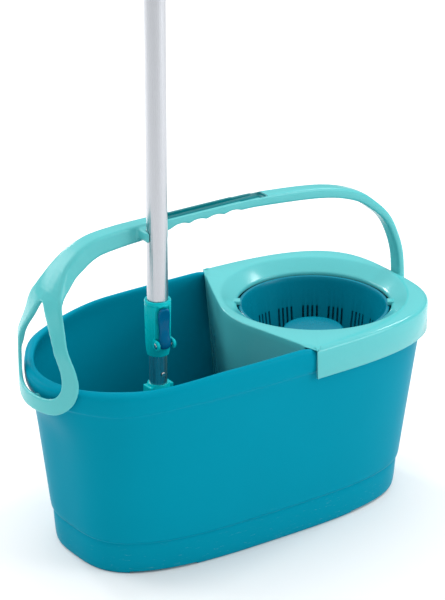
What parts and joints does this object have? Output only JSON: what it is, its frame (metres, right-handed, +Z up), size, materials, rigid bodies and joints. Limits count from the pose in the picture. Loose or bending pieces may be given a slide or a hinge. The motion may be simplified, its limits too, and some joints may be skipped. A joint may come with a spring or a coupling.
{
  "type": "spin mop set",
  "caption": "Spin mop set: oval bucket with pouring spout, swinging carry handle and spinning drain basket, and a telescopic mop with lock lever and tilting strand head.",
  "frame": {"origin": "on the floor, under the middle of the set's box", "axes": "+Z up along the mop's pole, +X from the pouring spout towards the spin basket, -Y the front that the picture shows"},
  "size_m": [0.522, 0.2725, 1.0792],
  "materials": {
    "petrol_plastic": "satin moulded polypropylene, petrol blue",
    "turquoise_plastic": "satin moulded polypropylene, light turquoise",
    "teal_plastic": "satin moulded plastic, teal",
    "dark_petrol_plastic": "satin moulded polypropylene, dark petrol blue",
    "blue_plastic": "glossy moulded plastic, deep blue",
    "white_plastic": "plain bearing plastic",
    "grey_plastic": "moulded plastic, dark grey",
    "aluminium": "drawn and brushed tube",
    "steel": "plain bright steel",
    "microfibre": "looped microfibre strands"
  },
  "bodies": {
    "bucket_set": {"bucket": "petrol_plastic", "spin_insert": "turquoise_plastic", "pivot_post": "petrol_plastic", "basket_spindle": "steel", "thrust_washer": "white_plastic"},
    "basket": {"spin_basket": "dark_petrol_plastic", "basket_bush": "white_plastic"},
    "handle": {"carry_handle": "turquoise_plastic"},
    "mop_carrier": {"guide_bush": "white_plastic"},
    "mop_pole": {"lower_tube": "aluminium", "collar_socket": "teal_plastic", "lever_pin": "steel", "rod_anchor": "grey_plastic", "spiral_rod": "steel", "telescope_collar": "teal_plastic"},
    "lever": {"lock_lever": "blue_plastic"},
    "shoe": {"lock_shoe": "grey_plastic"},
    "upper_pole": {"upper_tube": "aluminium", "telescope_plug": "grey_plastic", "upper_grip": "teal_plastic", "hanging_cap": "teal_plastic"},
    "mop_shaft": {"inner_tube": "aluminium", "drive_nut": "white_plastic", "clutch_ring": "steel", "clutch_spring": "steel", "head_socket": "teal_plastic", "head_pin": "steel"},
    "button": {"snap_button": "steel"},
    "mop_head": {"mop_plate": "grey_plastic", "strand_ring": "grey_plastic", "mop_strands": "microfibre"}
  },
  "joints": [
    {"name": "handle_swing", "type": "hinge", "parent": "bucket_set", "child": "handle", "pos_m": [0, 0, 0.212], "axis": [-1, 0, 0], "range_deg": [0, 112]},
    {"name": "basket_spin", "type": "hinge", "parent": "bucket_set", "child": "basket", "pos_m": [0.1304, 0, 0.17], "axis": [0, 0, 1], "continuous": true},
    {"name": "mop_lift", "type": "slide", "parent": "bucket_set", "child": "mop_carrier", "axis": [0, 0, 1], "range_m": [0, 0.02]},
    {"name": "pump_stroke", "type": "slide", "parent": "mop_carrier", "child": "mop_pole", "axis": [0, 0, 1], "range_m": [-0.018, 0.045]},
    {"name": "head_spin", "type": "hinge", "parent": "mop_carrier", "child": "mop_shaft", "pos_m": [-0.109, -0.027, 0.2], "axis": [0, 0, 1], "range_deg": [-272, 110]},
    {"name": "head_tilt", "type": "hinge", "parent": "mop_shaft", "child": "mop_head", "pos_m": [-0.109, -0.027, 0.178], "axis": [1, 0, 0], "range_deg": [-1.5, 10]},
    {"name": "lever_flip", "type": "hinge", "parent": "mop_pole", "child": "lever", "pos_m": [-0.11157, -0.04532, 0.258], "axis": [0.9903, -0.1392, 0], "range_deg": [0, 100]},
    {"name": "shoe_slide", "type": "slide", "parent": "mop_pole", "child": "shoe", "axis": [-0.1392, -0.9903, 0], "range_m": [0, 0.0006]},
    {"name": "pole_extend", "type": "slide", "parent": "mop_pole", "child": "upper_pole", "axis": [0, 0, 1], "range_m": [0, 0.24]},
    {"name": "button_press", "type": "slide", "parent": "mop_shaft", "child": "button", "axis": [0, 1, 0], "range_m": [0, 0.0013], "stiffness_N_per_m": 300, "springref_m": -0.002}
  ],
  "couplings": [
    {"joint": "head_spin", "follows": "pump_stroke", "rad_per_m": -104.72},
    {"joint": "shoe_slide", "follows": "lever_flip", "m_per_rad": 0.0003}
  ]
}
